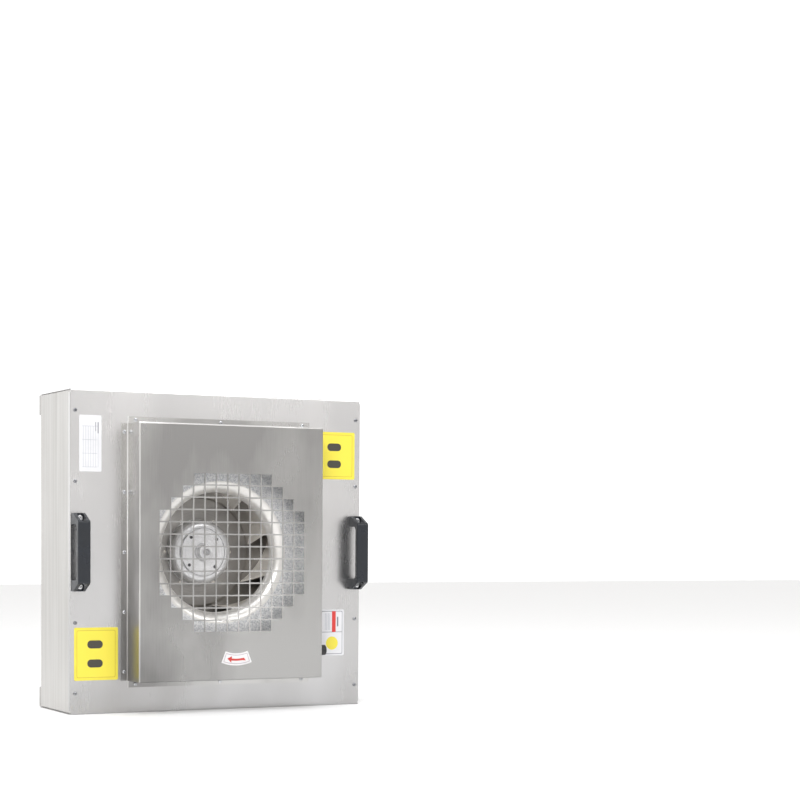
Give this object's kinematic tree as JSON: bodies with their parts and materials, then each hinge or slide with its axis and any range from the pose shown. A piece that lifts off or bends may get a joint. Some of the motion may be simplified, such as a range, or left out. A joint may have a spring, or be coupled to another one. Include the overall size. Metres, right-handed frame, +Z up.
{
  "type": "fan filter unit",
  "caption": "Square stainless cleanroom fan filter unit: folded casing, gridded inlet guard, backward-curved centrifugal fan, two handles and a pleated outlet filter.",
  "frame": {"origin": "middle of the bounding box's bottom, under the unit as it stands on its lower edge", "axes": "+X to the right seen from the inlet side, -Y the inlet side with guard and handles, +Y the filter's outlet side, +Z up"},
  "size_m": [0.575, 0.2422, 0.575],
  "materials": {
    "stainless_sheet": "brushed",
    "cover_sheet": "satin",
    "galvanised_sheet": "spangled",
    "aluminium_sheet": "satin",
    "aluminium_casting": "satin",
    "plated_fastener": "polished",
    "bearing_steel": "polished",
    "lamination": "matte",
    "copper_winding": "satin",
    "handle_nylon": "satin",
    "black_plastic": "satin",
    "white_plastic": "matte",
    "contact_brass": "satin",
    "gasket_rubber": "matte",
    "filter_paper": "matte"
  },
  "bodies": {
    "housing": {"bearing_front": "bearing_steel", "bearing_rear": "bearing_steel", "bracket_rivets": "aluminium_sheet", "capacitor_clip": "galvanised_sheet", "capacitor_screws": "plated_fastener", "casing_screws": "plated_fastener", "casing_wrap": "stainless_sheet", "clip_screws": "plated_fastener", "controller_nut": "plated_fastener", "filter_clip_1": "stainless_sheet", "filter_clip_2": "stainless_sheet", "filter_clip_3": "stainless_sheet", "filter_clip_4": "stainless_sheet", "filter_gasket": "gasket_rubber", "filter_media": "filter_paper", "filter_rail_bottom": "aluminium_sheet", "filter_rail_left": "aluminium_sheet", "filter_rail_right": "aluminium_sheet", "filter_rail_top": "aluminium_sheet", "filter_seat": "galvanised_sheet", "guard_cover": "cover_sheet", "guard_screws": "plated_fastener", "handle_left": "handle_nylon", "handle_nuts": "plated_fastener", "handle_right": "handle_nylon", "handle_screws": "plated_fastener", "inlet_pins": "contact_brass", "inlet_plate": "galvanised_sheet", "inlet_plate_screws": "plated_fastener", "motor_bolts": "plated_fastener", "motor_bracket": "galvanised_sheet", "motor_flange": "aluminium_casting", "power_inlet": "black_plastic", "run_capacitor": "white_plastic", "side_panel_left": "stainless_sheet", "side_panel_right": "stainless_sheet", "speed_controller": "black_plastic", "stator_core": "lamination", "stator_winding": "copper_winding"},
    "impeller": {"impeller_shroud": "aluminium_sheet", "impeller_backplate": "aluminium_sheet", "impeller_blade_1": "aluminium_sheet", "impeller_blade_2": "aluminium_sheet", "impeller_blade_3": "aluminium_sheet", "impeller_blade_4": "aluminium_sheet", "impeller_blade_5": "aluminium_sheet", "impeller_blade_6": "aluminium_sheet", "impeller_blade_7": "aluminium_sheet", "impeller_blade_8": "aluminium_sheet", "impeller_blade_9": "aluminium_sheet", "impeller_rivets": "aluminium_sheet", "rotor_housing": "aluminium_casting", "rotor_hub": "bearing_steel", "rotor_screws": "plated_fastener", "rotor_shaft": "bearing_steel", "rotor_core": "lamination", "shaft_circlip": "bearing_steel"},
    "speed_knob": {"speed_knob": "black_plastic", "control_shaft": "bearing_steel"}
  },
  "joints": [
    {"name": "impeller_spin", "type": "hinge", "parent": "housing", "child": "impeller", "pos_m": [0, 0.02395, 0.2875], "axis": [0, 1, 0], "continuous": true},
    {"name": "speed_knob_turn", "type": "hinge", "parent": "housing", "child": "speed_knob", "pos_m": [0.19, -0.09105, 0.1065], "axis": [1, 0, 0], "range_deg": [0, 300]}
  ]
}
